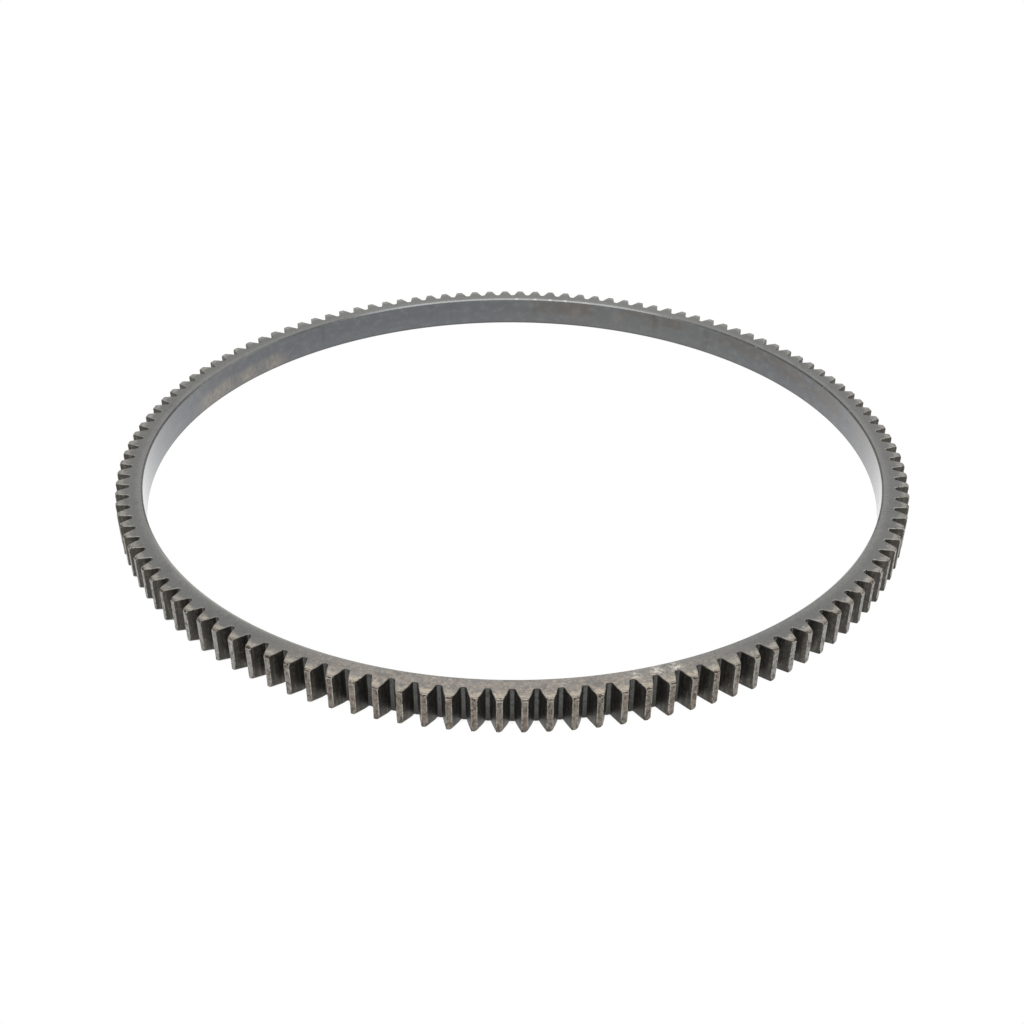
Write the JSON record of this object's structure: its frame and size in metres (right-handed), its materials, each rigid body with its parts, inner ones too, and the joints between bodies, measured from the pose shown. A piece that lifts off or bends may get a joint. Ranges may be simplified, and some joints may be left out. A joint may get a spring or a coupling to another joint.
{
  "type": "flywheel ring gear",
  "caption": "One-piece steel ring gear with outer spur teeth, bevelled on one flank at one end, and a smooth plain bore that shrinks onto a flywheel.",
  "frame": {"origin": "centre of the ring on its lower face, on the axis of the bore", "axes": "+Z along the axis of the bore, from the face at the bevelled ends of the teeth to the other face; a tooth is centred on +X"},
  "size_m": [0.3248, 0.3248, 0.0136],
  "materials": {
    "oxidised_steel": "plain machined steel with a thin grey-brown oxide film, satin"
  },
  "bodies": {
    "root": {"ring_gear": "oxidised_steel"}
  },
  "joints": []
}
